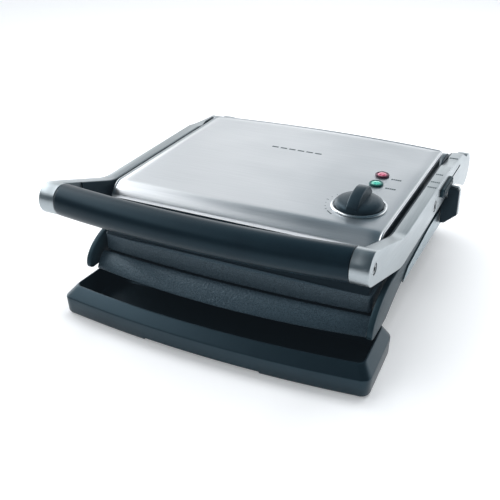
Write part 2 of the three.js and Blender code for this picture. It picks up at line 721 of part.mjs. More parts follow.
function lidSkirt(group) {
  const roof = coverUnder - 2 * CLEAR;
  const front = LID_FRONT + SHEET + 2.5;
  const lowFront = LID_FRONT - 20;
  const rear = lidRear - SHEET - CLEAR;
  const frontKnee = coverTop - 19;
  const outer = outline([
    [lowFront, skirtZ],
    [front, frontKnee],
    [front + 5, frontKnee + 8],
    [front + 17, roof - 2],
    [front + 26, roof],
    [rear, roof],
    [rear, skirtZ],
  ]);
  const inner = outline([
    [lowFront - 0.4, skirtZ - 6],
    [front + WALL + 0.6, frontKnee - 1.5],
    [front + 20, roof - 6],
    [front + 22, roof + 5],
    [rear - WALL, roof + 5],
    [rear - WALL, skirtZ - 6],
  ]);
  const corners = prismZ(plan(skirtHalf, rear, lowFront - 20, 9), 0, coverTop);
  const body = common(prismX(outer, -skirtHalf, skirtHalf), corners);
  const hollow = prismX(inner, -skirtHalf + WALL, skirtHalf - WALL);
  const bores = sides.map(([, s]) =>
    rodX(PIVOT_RADIUS + 2, s * (skirtHalf - 8), s * (skirtHalf + 2), pivotY, pivotZ),
  );
  place(group, "lid_skirt", black, cut(body, hollow, ...bores));
}

function pivotBrackets(group) {
  for (const [side, s] of sides) {
    const outer = skirtHalf - WALL - CLEAR;
    const plate = block(s * (outer - 7), s * outer, pivotY - 13, pivotY + 13, pivotZ - 16, pivotZ + 15);
    const bore = rodX(PIVOT_RADIUS + BORE_CLEAR, s * (outer - 8), s * (outer + 1), pivotY, pivotZ);
    place(group, `pivot_bracket_${side}`, darkMetal, cut(plate, bore));
  }
}

function indicators(group) {
  for (const { name, x, y, color } of lights) {
    const low = coverTop + CLEAR;
    const ring = [
      [LENS_RADIUS + 0.4, low],
      [LENS_RADIUS + 2.9, low],
      [LENS_RADIUS + 2.5, low + 1.5],
      [LENS_RADIUS + 0.4, low + 1.9],
      [LENS_RADIUS + 0.4, low],
    ];
    place(group, `${name}_bezel`, darkMetal, turned(ring, x, y, 20));
    const lens = [
      [0, coverUnder - 2],
      [LENS_RADIUS, coverUnder - 2],
      [LENS_RADIUS, low + 1.4],
      [LENS_RADIUS * 0.72, low + 2.3],
      [0, low + 2.7],
    ];
    place(group, `${name}_lens`, finish(color, 0.25, 0), turned(lens, x, y, 20));
    const lampTop = coverUnder - 2 - CLEAR;
    place(group, `${name}_lamp`, whiteCeramic, rodZ(4.6, x, y, lampTop - 16, lampTop, 16));
  }
}

function thermostat(group, dialGroup) {
  const bodyTop = coverUnder - 6;
  const halfSide = 14;
  const body = block(
    dial.x - halfSide,
    dial.x + halfSide,
    dial.y - halfSide,
    dial.y + halfSide,
    bodyTop - 22,
    bodyTop,
  );
  const bore = rodZ(SHAFT_RADIUS + BORE_CLEAR, dial.x, dial.y, bodyTop - 16, bodyTop + 2);
  place(group, "thermostat_body", whiteCeramic, cut(body, bore));
  const low = coverTop + CLEAR;
  const outer = KNOB_RADIUS + 3.8;
  const seat = [
    [18, low],
    [outer, low],
    [outer - 0.3, low + 1.6],
    [outer - 1, low + 2.4],
    [KNOB_RADIUS + 0.6, low + 1.8],
    [KNOB_RADIUS + 0.6, low + 0.8],
    [18, low + 0.8],
    [18, low],
  ];
  place(group, "dial_ring", steel, turned(seat, dial.x, dial.y, 36));
  const knobLow = low + 0.8 + CLEAR;
  const shaft = rodZ(SHAFT_RADIUS, dial.x, dial.y, bodyTop - 15, knobLow + 5);
  place(dialGroup, "thermostat_shaft", darkMetal, shaft);
  dialKnob(dialGroup, knobLow);
}

function dialKnob(dialGroup, low) {
  const skirt = [
    [0, low],
    [KNOB_RADIUS, low],
    [KNOB_RADIUS, low + 1.6],
    [KNOB_RADIUS - 1.4, low + 5],
    [KNOB_RADIUS - 6, low + 7.4],
    [0, low + 8.4],
  ];
  const disc = turned(skirt, dial.x, dial.y, 36);
  const blade = new THREE.Shape();
  blade.moveTo(dial.y - 25, low + 2);
  blade.lineTo(dial.y - 26, low + 6);
  blade.bezierCurveTo(dial.y - 21, low + 15, dial.y - 12, low + 19, dial.y + 4, low + 19.8);
  blade.bezierCurveTo(dial.y + 16, low + 19.6, dial.y + 24, low + 14, dial.y + 26, low + 5);
  blade.lineTo(dial.y + 25, low + 2);
  blade.closePath();
  const wing = prismX(blade, dial.x - 6.6, dial.x + 6.6);
  const bore = rodZ(SHAFT_RADIUS + 0.3, dial.x, dial.y, low - 1, low + 6);
  place(dialGroup, "dial_knob", gripBlack, cut(joined(disc, wing), bore));
}

// ---------------------------------------------------------------- drip tray
const trayRear = panFront - 2;
const trayFront = trayRear - TRAY_DEPTH;
function dripTray(group) {
  const bottom = TRAY_FLOOR_GAP;
  const shoulder = TRAY_WALL_HEIGHT;
  const sideBevel = TRAY_SIDE_BEVEL;
  const rim = TRAY_HEIGHT;
  const layers = [
    [bottom, 2.6, 2.6],
    [bottom + 3.4, 0.6, 0.6],
    [shoulder, 0, 0],
    [rim - 0.8, sideBevel - 0.4, TRAY_BEVEL - 0.6],
    [rim, sideBevel + 0.6, TRAY_BEVEL + 0.6],
  ];
  const front = trayFront + TRAY_BOW;
  const narrowing = (y) => 1 - (TRAY_TAPER * (y - trayFront)) / TRAY_DEPTH;
  const ring = ([z, sideIn, frontIn]) => {
    const radius = TRAY_CORNER - sideIn / 3;
    const shape = plan(trayHalf - sideIn, trayRear - sideIn / 2, front + frontIn, radius, 0, TRAY_BOW);
    return shape.getPoints(7).map((p) => new THREE.Vector3(p.x * narrowing(p.y), p.y, z));
  };
  const outer = loft(layers.map(ring));
  const wall = 3;
  const inside = plan(
    trayHalf - sideBevel - wall,
    trayRear - sideBevel / 2 - wall,
    front + TRAY_BEVEL + wall - 1,
    13,
    0,
    TRAY_BOW - 1,
  );
  const well = movePoints(prismZ(inside, bottom + 3, rim + 5, 7), (p) => {
    p.x *= narrowing(p.y);
  });
  const recessHalf = 72;
  const recess = block(-recessHalf, recessHalf, trayFront - 10, front + 4, 0, 4.4);
  place(group, "drip_tray", black, cut(outer, well, recess));
}

// Closed solid through matching rings of points, lowest first.
function loft(rings) {
  const count = rings[0].length - 1;
  const positions = [];
  const index = [];
  for (const ring of rings) {
    for (let i = 0; i < count; i += 1) positions.push(ring[i].x, ring[i].y, ring[i].z);
  }
  for (let layer = 0; layer < rings.length - 1; layer += 1) {
    for (let i = 0; i < count; i += 1) {
      const a = layer * count + i;
      const b = layer * count + ((i + 1) % count);
      index.push(a, b, b + count, a, b + count, a + count);
    }
  }
  const capFaces = THREE.ShapeUtils.triangulateShape(
    rings[0].slice(0, count).map((p) => new THREE.Vector2(p.x, p.y)),
    [],
  );
  const top = (rings.length - 1) * count;
  for (const [a, b, c] of capFaces) {
    index.push(a, c, b);
    index.push(top + a, top + b, top + c);
  }
  const geometry = new THREE.BufferGeometry();
  geometry.setAttribute("position", new THREE.Float32BufferAttribute(positions, 3));
  geometry.setIndex(index);
  return geometry;
}

// ---------------------------------------------------------------- assembly
const press = new THREE.Group();
const base = new THREE.Group();
const armGroup = new THREE.Group();
const clipGroup = new THREE.Group();
const lid = new THREE.Group();
const dialGroup = new THREE.Group();
const tray = new THREE.Group();
press.add(base, armGroup, tray);
armGroup.add(lid, clipGroup);
lid.add(dialGroup);

basePan(base);
feet(base);
rails(base);
casing(base);
rearCover(base);
electrics(base);
lowerPlate(base);
heating(base, "lower", panHalf, plateBottom - ELEMENT_RADIUS - CLEAR, railBottom - 9);
hinge(base);
stopPillar(base);
arms(armGroup);
handle(armGroup);
heightClip(clipGroup);
lidCover(lid);
lidSkirt(lid);
upperPlate(lid);
heating(lid, "upper", upperHalf - 2, upperZ + 9 + CLEAR + ELEMENT_RADIUS, upperZ + 9 + 3 * CLEAR + 7);
pivotBrackets(lid);
indicators(lid);
thermostat(lid, dialGroup);
dripTray(tray);

// The right-hand stop pillar sticks out past the tray, so the footprint's middle is off x = 0.
const widest = armOut + PILLAR_WIDTH + PILLAR_PLATE_MARGIN;
const foremost = handleY - HANDLE_BOW - GRIP_RADIUS;
const rearmost = hingeY + LOBE_RADIUS;
press.position.set(-(widest - trayHalf) / 2, -(foremost + rearmost) / 2, 0);

export default press;
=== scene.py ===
"""Panini press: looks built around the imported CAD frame.

Lengths in this script are millimetres, in the frame's axes (+Z up, the user at -Y), and become
metres when a mesh is made. Places come from the boxes of the CAD nodes and from the joints.
"""

import json
import math

import bmesh
import bpy
from mathutils import Matrix, Vector
from mathutils.geometry import interpolate_bezier


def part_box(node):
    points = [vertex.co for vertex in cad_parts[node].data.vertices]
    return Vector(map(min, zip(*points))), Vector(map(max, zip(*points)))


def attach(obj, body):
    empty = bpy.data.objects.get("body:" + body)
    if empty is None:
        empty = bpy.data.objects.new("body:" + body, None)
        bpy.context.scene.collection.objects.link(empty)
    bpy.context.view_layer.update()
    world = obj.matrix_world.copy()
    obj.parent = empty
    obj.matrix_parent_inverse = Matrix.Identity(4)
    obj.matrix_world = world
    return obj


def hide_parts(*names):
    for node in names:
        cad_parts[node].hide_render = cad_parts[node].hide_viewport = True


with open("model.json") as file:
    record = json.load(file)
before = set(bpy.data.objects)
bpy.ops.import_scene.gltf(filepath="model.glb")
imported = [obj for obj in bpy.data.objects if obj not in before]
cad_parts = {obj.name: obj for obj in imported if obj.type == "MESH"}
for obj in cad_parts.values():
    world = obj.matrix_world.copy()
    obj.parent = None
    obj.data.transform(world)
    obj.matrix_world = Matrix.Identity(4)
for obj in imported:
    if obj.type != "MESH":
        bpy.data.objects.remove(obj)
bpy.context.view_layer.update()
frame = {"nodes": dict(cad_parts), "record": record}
MM = 0.001


# ---------------------------------------------------------------- stations taken from the frame
def span(node):
    low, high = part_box(node)
    return low / MM, high / MM


def middle(node):
    low, high = span(node)
    return (low + high) / 2


joints = frame["record"]["behaviour"]["joints"]
joint_at = {j["name"]: Vector(j["pos_m"]) / MM for j in joints if "pos_m" in j}
HINGE = joint_at["arm_hinge"]
PIVOT = joint_at["lid_pivot"]
DIAL = middle("dial_ring")
AXIS = middle("handle_screw_right")  # the handle's end, on its axis
MID = (span("arm_left")[0].x + span("arm_right")[1].x) / 2
ARM_OUT = span("arm_right")[1].x - MID
COVER_LOW, COVER_HIGH = span("lid_cover")
LID_TOP = COVER_HIGH.z
LID_HALF = COVER_HIGH.x - MID
REAR_BOW = 9
LID_FRONT = COVER_LOW.y
LID_REAR = COVER_HIGH.y - REAR_BOW
ARM_THICK = 14
ARM_IN = ARM_OUT - ARM_THICK
ARM_RISE, ARM_HEIGHT = 21, 34  # the arm's top above the lid's pivot, and its height there
ARM_TOP = PIVOT.z + ARM_RISE
ARM_BOTTOM = ARM_TOP - ARM_HEIGHT
SIDES = (("left", -1), ("right", 1))
SHARP_DEGREES = 32  # edges that turn more than this stay sharp


# ---------------------------------------------------------------- outlines
class Path:
    """An outline in a plane, from straight runs, curves and arcs."""

    def __init__(self, a, b):
        self.points = [Vector((a, b))]

    def line(self, a, b):
        self.points.append(Vector((a, b)))
        return self

    def curve(self, near, far, end, steps):
        start = self.points[-1]
        found = interpolate_bezier(start, Vector(near), Vector(far), Vector(end), steps + 1)
        self.points += [Vector((p[0], p[1])) for p in found[1:]]
        return self

    def bend(self, knee, end, steps):
        start, knee, end = self.points[-1], Vector(knee), Vector(end)
        near = start + (knee - start) * 2 / 3
        far = end + (knee - end) * 2 / 3
        return self.curve(near, far, end, steps)

    def arc(self, centre, radius, start, end, steps=36):
        for i in range(steps + 1):
            angle = start + (end - start) * i / steps
            self.line(centre[0] + radius * math.cos(angle), centre[1] + radius * math.sin(angle))
        return self


def tidy_loop(points):
    """Drops doubled points and turns the loop anticlockwise."""
    loop = [p for i, p in enumerate(points) if (p - points[i - 1]).length > 1e-3]
    area = sum(loop[i - 1].x * p.y - p.x * loop[i - 1].y for i, p in enumerate(loop))
    return loop if area > 0 else loop[::-1]


def inset(loop, amount):
    """The loop moved inwards by amount, corner by corner."""
    moved = []
    for i, p in enumerate(loop):
        before = (p - loop[i - 1]).normalized()
        after = (loop[(i + 1) % len(loop)] - p).normalized()
        n1, n2 = Vector((before.y, -before.x)), Vector((after.y, -after.x))
        reach = max(1 + n1.dot(n2), 0.35)
        moved.append(p - (n1 + n2) * amount / reach)
    return moved


def plan(x_half, rear, front, radius, front_bow, steps):
    """Rectangle with round corners about MID whose front edge bows outwards."""
    left, right = MID - x_half, MID + x_half
    path = Path(left, front + radius)
    path.bend((left, front), (left + radius, front), steps)
    path.bend((MID, front - 2 * front_bow), (right - radius, front), 4 * steps)
    path.bend((right, front), (right, front + radius), steps)
    path.line(right, rear - radius)
    path.bend((right, rear), (right - radius, rear), steps)
    path.bend((MID, rear), (left + radius, rear), 4 * steps)
    path.bend((left, rear), (left, rear - radius), steps)
    return tidy_loop(path.points)


# ---------------------------------------------------------------- mesh helpers
def skin(rings, caps=True):
    """Quads between matching rings of points, with the first and last ring filled."""
    bm = bmesh.new()
    rows = [[bm.verts.new(p) for p in ring] for ring in rings]
    count = len(rings[0])
    for low, high in zip(rows, rows[1:]):
        for i in range(count):
            j = (i + 1) % count
            bm.faces.new((low[i], low[j], high[j], high[i]))
    if caps:
        bm.faces.new(rows[0][::-1])
        bm.faces.new(rows[-1])
    bmesh.ops.recalc_face_normals(bm, faces=bm.faces)
    return bm


def rounding(radius, steps=3):
    """(inset, rise) pairs of a quarter round, from the face to the wall."""
    for i in range(steps + 1):
        angle = math.pi / 2 * i / steps
        yield radius * (1 - math.sin(angle)), radius * (1 - math.cos(angle))


def slab(loop, low, high, radius, place):
    """A flat body from an outline with its two rims rounded; place puts (a, b, depth) in space."""
    loop = tidy_loop(loop)
    levels = [(d, low + r) for d, r in rounding(radius)]
    levels += [(d, high - r) for d, r in reversed(list(rounding(radius)))]
    return skin([[place(p.x, p.y, depth) for p in inset(loop, d)] for d, depth in levels])


def slab_x(loop, xa, xb, radius):
    low, high = sorted((xa, xb))
    return slab(loop, low, high, radius, lambda a, b, depth: Vector((depth, a, b)))


def slab_z(loop, za, zb, radius):
    return slab(loop, za, zb, radius, lambda a, b, depth: Vector((a, b, depth)))


def turned(profile, centre, axis="z", facets=64):
    """A (radius, height) profile, open at the axis or closed on itself, turned round an axis."""
    closed = profile[0][0] > 1e-6
    rings = []
    for radius, height in profile + ([profile[0]] if closed else []):
        ring = []
        for i in range(facets):
            angle = 2 * math.pi * i / facets
            a, b = max(radius, 1e-4) * math.cos(angle), max(radius, 1e-4) * math.sin(angle)
            offset = {"z": (a, b, height), "x": (height, a, b)}[axis]
            ring.append(Vector(centre) + Vector(offset))
        rings.append(ring)
    bm = skin(rings, caps=not closed)
    bmesh.ops.remove_doubles(bm, verts=bm.verts, dist=2e-3)
    bmesh.ops.recalc_face_normals(bm, faces=bm.faces)
    return bm


def box_mesh(low, high, radius):
    corners = (low[0], low[1]), (high[0], low[1]), (high[0], high[1]), (low[0], high[1])
    loop = [Vector(p) for p in corners]
    return slab_z(loop, low[2], high[2], radius)


def merged(*parts):
    bm = parts[0]
    for other in parts[1:]:
        scratch = bpy.data.meshes.new("scratch")
        other.to_mesh(scratch)
        other.free()
        bm.from_mesh(scratch)
        bpy.data.meshes.remove(scratch)
    return bm


def object_from(bm, name):
    mesh = bpy.data.meshes.new(name)
    for vert in bm.verts:
        vert.co *= MM
    bm.to_mesh(mesh)
    bm.free()
    made = bpy.data.objects.new(name, mesh)
    bpy.context.scene.collection.objects.link(made)
    return made


def bake(piece):
    """Turns a piece's modifiers into its mesh."""
    graph = bpy.context.evaluated_depsgraph_get()
    baked = bpy.data.meshes.new_from_object(piece.evaluated_get(graph))
    piece.modifiers.clear()
    piece.data = baked


def combine(piece, tool, operation):
    modifier = piece.modifiers.new("combine", "BOOLEAN")
    modifier.operation = operation
    modifier.solver = "EXACT"
    modifier.object = tool
    bake(piece)
    bpy.data.objects.remove(tool)


def finished(piece, body, look, nodes=(), smooth=SHARP_DEGREES):
    """Rides, gives the material and shades a piece."""
    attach(piece, body)
    piece.data.materials.clear()
    piece.data.materials.append(look)
    for polygon in piece.data.polygons:
        polygon.use_smooth = True
    piece.data.set_sharp_from_angle(angle=math.radians(smooth))
    if nodes:
        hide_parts(*nodes)
    return piece


def add(name, bm, body, look, nodes=(), smooth=SHARP_DEGREES):
    return finished(object_from(bm, name), body, look, nodes, smooth)


def refined(node, body, look, bevel):
    """A copy of a CAD node with flat faces joined and every rim rounded."""
    source = frame["nodes"][node]
    piece = bpy.data.objects.new(f"{node}_shell", source.data.copy())
    bpy.context.scene.collection.objects.link(piece)
    bm = bmesh.new()
    bm.from_mesh(piece.data)
    bmesh.ops.remove_doubles(bm, verts=bm.verts, dist=1e-6)
    everything = {"verts": bm.verts[:], "edges": bm.edges[:]}
    bmesh.ops.dissolve_limit(bm, angle_limit=math.radians(0.6), **everything)
    bm.to_mesh(piece.data)
    bm.free()
    rim = piece.modifiers.new("rim", "BEVEL")
    rim.width = bevel * MM
    rim.segments = 3
    rim.limit_method = "ANGLE"
    rim.angle_limit = math.radians(SHARP_DEGREES)
    bake(piece)
    return finished(piece, body, look, (node,))


# ---------------------------------------------------------------- materials
RANGE_SOCKETS = ("From Min", "From Max", "To Min", "To Max")


class Look:
    """A node material on one Principled shader, in object space."""

    def __init__(self, name, rough, metal=0.0, **sockets):
        self.material = bpy.data.materials.new(name)
        self.material.use_nodes = True
        self.nodes = self.material.node_tree.nodes
        self.links = self.material.node_tree.links
        self.shader = self.nodes["Principled BSDF"]
        self.shader.inputs["Roughness"].default_value = rough
        self.shader.inputs["Metallic"].default_value = metal
        for socket, value in sockets.items():
            self.shader.inputs[socket.replace("_", " ")].default_value = value

    def noise(self, size, detail):
        """Noise whose grains are size millimetres long in x, y and z."""
        where = self.nodes.new("ShaderNodeTexCoord")
        stretch = self.nodes.new("ShaderNodeMapping")
        stretch.inputs["Scale"].default_value = [1 / (MM * s) for s in size]
        grain = self.nodes.new("ShaderNodeTexNoise")
        grain.inputs["Scale"].default_value = 1.0
        grain.inputs["Detail"].default_value = detail
        self.links.new(where.outputs["Object"], stretch.inputs["Vector"])
        self.links.new(stretch.outputs["Vector"], grain.inputs["Vector"])
        return grain.outputs["Fac"]

    def cells(self, size):
        where = self.nodes.new("ShaderNodeTexCoord")
        pits = self.nodes.new("ShaderNodeTexVoronoi")
        pits.feature = "SMOOTH_F1"
        pits.inputs["Scale"].default_value = 1 / (MM * size)
        self.links.new(where.outputs["Object"], pits.inputs["Vector"])
        return pits.outputs["Distance"]

    def colour(self, value, dark, light, start=0.3, end=0.7):
        ramp = self.nodes.new("ShaderNodeValToRGB")
        ramp.color_ramp.elements[0].position = start
        ramp.color_ramp.elements[0].color = (*dark, 1)
        ramp.color_ramp.elements[1].position = end
        ramp.color_ramp.elements[1].color = (*light, 1)
        self.links.new(value, ramp.inputs["Fac"])
        self.links.new(ramp.outputs["Color"], self.shader.inputs["Base Color"])
        return self

    def rough(self, value, low, high):
        ramp = self.nodes.new("ShaderNodeMapRange")
        for socket, amount in zip(RANGE_SOCKETS, (0.3, 0.7, low, high)):
            ramp.inputs[socket].default_value = amount
        self.links.new(value, ramp.inputs["Value"])
        self.links.new(ramp.outputs["Result"], self.shader.inputs["Roughness"])
        return self

    def emit(self, colour, strength=1.0):
        self.shader.inputs["Emission Color"].default_value = (*colour, 1)
        self.shader.inputs["Emission Strength"].default_value = strength
        return self

    def bump(self, value, depth, strength):
        """Relief of depth millimetres."""
        relief = self.nodes.new("ShaderNodeBump")
        relief.inputs["Strength"].default_value = strength
        relief.inputs["Distance"].default_value = depth * MM
        self.links.new(value, relief.inputs["Height"])
        before = self.shader.inputs["Normal"].links
        if before:
            self.links.new(before[0].from_socket, relief.inputs["Normal"])
        self.links.new(relief.outputs["Normal"], self.shader.inputs["Normal"])
        return self

    def grain_direction(self, uv_map):
        tangent = self.nodes.new("ShaderNodeTangent")
        tangent.direction_type = "UV_MAP"
        tangent.uv_map = uv_map
        self.links.new(tangent.outputs["Tangent"], self.shader.inputs["Tangent"])
        return self


def brushed(name, dark, light, rough, grain, anisotropy=0.0, uv_map=""):
    look = Look(name, rough, 1.0, Anisotropic=anisotropy)
    if uv_map:
        look.grain_direction(uv_map)
    lines = look.noise(grain, 5.0)
    cloud = look.noise((90, 60, 60), 2.0)
    look.colour(lines, dark, light, 0.25, 0.75)
    look.rough(cloud, rough - 0.03, rough + 0.04)
    look.bump(lines, 0.02, 0.35)
    return look


LIFT = (0.004, 0.0055, 0.007)  # faint glow that keeps the deepest blacks readable


def moulded(name, dark, light, rough, depth=0.03, size=0.7, **sockets):
    sockets.setdefault("Specular_IOR_Level", 0.35)
    look = Look(name, rough, 0.0, Specular_Tint=(0.5, 0.8, 1.0, 1), **sockets)
    cloud = look.noise((45, 45, 45), 3.0)
    skin_grain = look.noise((size, size, size), 2.0)
    look.colour(cloud, dark, light)
    look.rough(skin_grain, rough - 0.05, rough + 0.06)
    look.bump(skin_grain, depth, 0.5)
    return look.emit(LIFT)


def hammered(name, dark, light):
    look = Look(name, 0.4, 0.0, Specular_IOR_Level=0.6, Specular_Tint=(0.7, 0.88, 1.0, 1))
    pits = look.cells(2.3)
    speck = look.noise((1.1, 1.1, 1.1), 4.0)
    look.colour(speck, dark, light, 0.35, 0.7)
    look.rough(speck, 0.5, 0.34)
    look.bump(speck, 0.2, 0.6)
    look.bump(pits, 0.6, 0.6)
    return look.emit(LIFT)


def lens(name, deep, bright):
    look = Look(name, 0.2, 0.0, Coat_Weight=0.6, Coat_Roughness=0.08, IOR=1.5)
    look.colour(look.noise((2.5, 2.5, 2.5), 1.0), deep, bright, 0.35, 0.6)
    return look


LOOKS = {
    "brushed_lid": brushed(
        "lid_steel", (0.69, 0.71, 0.73), (0.79, 0.81, 0.83), 0.33, (70, 0.5, 0.5), 0.6, "grain"
    ),
    "brushed_trim": brushed("trim_steel", (0.60, 0.64, 0.66), (0.74, 0.77, 0.79), 0.27, (0.5, 60, 0.5)),
    "cast_arm": brushed("cast_silver", (0.33, 0.37, 0.39), (0.44, 0.48, 0.50), 0.34, (0.45, 30, 0.45)),
    "grip": moulded(
        "grip_black", (0.003, 0.009, 0.014), (0.005, 0.014, 0.020), 0.32, 0.02, 0.5, Specular_IOR_Level=0.25
    ),
    "dial": moulded("dial_black", (0.008, 0.015, 0.020), (0.015, 0.025, 0.032), 0.33, 0.02, 0.5),
    "black_moulding": moulded("moulding_black", (0.005, 0.009, 0.012), (0.009, 0.014, 0.018), 0.45, 0.05, 0.9),
    "grey_moulding": moulded("moulding_grey", (0.012, 0.027, 0.034), (0.020, 0.038, 0.047), 0.42, 0.03, 0.8),
    "tray_moulding": moulded(
        "tray_black", (0.004, 0.010, 0.014), (0.007, 0.015, 0.020), 0.34, 0.03, 0.8, Specular_IOR_Level=0.55
    ),
    "non_stick": hammered("non_stick_coat", (0.010, 0.021, 0.030), (0.050, 0.078, 0.098)),
    "rubber": moulded("rubber_black", (0.010, 0.010, 0.011), (0.018, 0.018, 0.019), 0.75, 0.08, 0.6),
    "dark_steel": brushed("dull_steel", (0.20, 0.22, 0.23), (0.30, 0.32, 0.33), 0.4, (1.5, 1.5, 1.5)),
    "reflector": brushed("bright_sheet", (0.62, 0.64, 0.65), (0.74, 0.76, 0.77), 0.28, (30, 0.6, 0.6)),
    "ceramic": moulded("ceramic_white", (0.62, 0.60, 0.55), (0.72, 0.70, 0.65), 0.6, 0.05, 0.8),
    "red_lens": lens("lens_red", (0.36, 0.03, 0.08), (0.62, 0.20, 0.28)),
    "green_lens": lens("lens_green", (0.01, 0.27, 0.20), (0.10, 0.55, 0.42)),
    "mark": moulded("mark_grey", (0.03, 0.045, 0.05), (0.06, 0.075, 0.08), 0.6, 0.01, 0.5),
}
MATERIALS = {slot: look.material for slot, look in LOOKS.items()}


# ---------------------------------------------------------------- lid
LIP = (  # inset from the lid's edge, height against the flat top
    (0, -6), (0, -2.0), (0.25, -1.3), (0.8, -0.75), (1.5, -0.6), (2.1, -0.85), (2.8, -1.15),
    (4.2, -1.05), (6.5, -0.62), (9.5, -0.2), (13, 0), (17, 0),
)  # fmt: skip
SHEET = 1.5
ROLL = 17  # front roll, back from the lid's front edge and down from its top
FLAT_START = LID_FRONT + ROLL + 5
DIAL_HOLE, LIGHT_HOLE = 4.9, 6.3  # radii
LABEL_BARS, LABEL_PITCH = 5, 2.5


def lid_side_loop(amount):
    """The lid's left, rear and right edges, moved in by amount, from front left to front right."""
    half, rear, corner = LID_HALF - amount, LID_REAR - amount, max(9 - amount, 1.2)
    path = Path(MID - half, FLAT_START)
    path.line(MID - half, rear - corner)
    path.bend((MID - half, rear), (MID - half + corner, rear), 8)
    path.bend((MID, rear + 2 * REAR_BOW), (MID + half - corner, rear), 40)
    path.bend((MID + half, rear), (MID + half, rear - corner), 8)
    path.line(MID + half, FLAT_START)
    return path.points


def roll_points():
    """(y, z) down the front roll, from the flat top to the front edge."""
    path = Path(FLAT_START, LID_TOP)
    path.line(LID_FRONT + ROLL, LID_TOP)
    bend_end = (LID_FRONT + 5, LID_TOP - 6.6)
    path.curve((LID_FRONT + 12, LID_TOP - 0.6), (LID_FRONT + 8.5, LID_TOP - 3.2), bend_end, 12)
    path.line(LID_FRONT + 0.6, LID_TOP - 12.6)
    path.bend((LID_FRONT, LID_TOP - 13.6), (LID_FRONT, LID_TOP - ROLL), 5)
    return path.points


def lid_hole(centre, radius, reach=8):
    profile = [(0, -reach), (radius, -reach), (radius, reach), (0, reach)]
    return turned(profile, (centre.x, centre.y, LID_TOP))


def lid_cover():
    bm = bmesh.new()
    rows = []
    for amount, height in LIP:
        rows.append([bm.verts.new((p.x, p.y, LID_TOP + height)) for p in lid_side_loop(amount)])
    for outer, inner in zip(rows, rows[1:]):
        for i in range(len(outer) - 1):
            bm.faces.new((outer[i], inner[i], inner[i + 1], outer[i + 1]))
    bm.faces.new(rows[-1])
    across = [(MID - LID_HALF + amount, height) for amount, height in LIP]
    across += [(MID + LID_HALF - amount, height) for amount, height in reversed(LIP)]
    strips = []
    for y, z in roll_points():
        strips.append([bm.verts.new((x, y, z + height)) for x, height in across])
    for upper, lower in zip(strips, strips[1:]):
        for i in range(len(upper) - 1):
            bm.faces.new((upper[i], lower[i], lower[i + 1], upper[i + 1]))
    bmesh.ops.remove_doubles(bm, verts=bm.verts, dist=1e-3)
    bmesh.ops.recalc_face_normals(bm, faces=bm.faces)
    if sum(f.normal.z * f.calc_area() for f in bm.faces) < 0:
        bmesh.ops.reverse_faces(bm, faces=bm.faces)
    piece = object_from(bm, "lid_cover_shell")
    sheet = piece.modifiers.new("sheet", "SOLIDIFY")
    sheet.thickness = SHEET * MM
    sheet.offset = -1
    bake(piece)
    holes = [lid_hole(DIAL, DIAL_HOLE)]
    holes += [lid_hole(middle(f"{name}_bezel"), LIGHT_HOLE) for name in ("power", "ready")]
    combine(piece, object_from(merged(*holes), "holes"), "DIFFERENCE")
    bm = bmesh.new()
    bm.from_mesh(piece.data)
    bmesh.ops.triangulate(bm, faces=bm.faces)
    bm.to_mesh(piece.data)
    bm.free()
    grain = piece.data.uv_layers.new(name="grain")
    for loop in piece.data.loops:
        at = piece.data.vertices[loop.vertex_index].co
        grain.data[loop.index].uv = (at.y + at.z, at.x)
    finished(piece, "lid", MATERIALS["brushed_lid"], ("lid_cover",), 38)


def plain_bar(x, y, length, width, top):
    low, high = (x, y - width / 2, top - 0.4), (x + length, y + width / 2, top + 0.08)
    return box_mesh(low, high, 0.05)


def light(name, slot):
    centre, (low, high) = middle(f"{name}_bezel"), span(f"{name}_bezel")
    outer = (high.x - low.x) / 2
    hole = outer - 2.6
    base = low.z
    ring = [
        (hole, base), (outer, base), (outer, base + 0.7), (outer - 0.4, base + 1.5),
        (outer - 1.1, base + 1.9), (hole + 0.5, base + 1.8), (hole, base + 1.2),
    ]  # fmt: skip
    centre.z = 0
    add(f"{name}_bezel_ring", turned(ring, centre), "lid", BEZELS[name], (f"{name}_bezel",))
    lens_low, lens_high = span(f"{name}_lens")
    radius = hole - 0.15
    dome = [(0, lens_low.z), (radius, lens_low.z), (radius, base + 0.9)]
    for i in range(1, 9):
        angle = math.pi / 2 * i / 8
        rise = (lens_high.z - base - 0.9) * math.sin(angle)
        dome.append((radius * math.cos(angle), base + 0.9 + rise))
    add(f"{name}_lens_dome", turned(dome, centre), "lid", MATERIALS[slot], (f"{name}_lens",), 50)
    start, y = centre.x + 13, centre.y - 5.8
    bars = [plain_bar(start + LABEL_PITCH * i, y, 2.1, 3.0, LID_TOP) for i in range(LABEL_BARS)]
    add(f"{name}_label_bars", merged(*bars), "lid", MATERIALS["mark"])


STRIP = brushed("strip_steel", (0.27, 0.33, 0.36), (0.34, 0.40, 0.43), 0.36, (0.5, 60, 0.5)).material
BEZELS = {
    "power": moulded("bezel_plum", (0.05, 0.012, 0.022), (0.09, 0.02, 0.035), 0.35).material,
    "ready": moulded("bezel_green", (0.004, 0.05, 0.045), (0.008, 0.085, 0.07), 0.35).material,
}


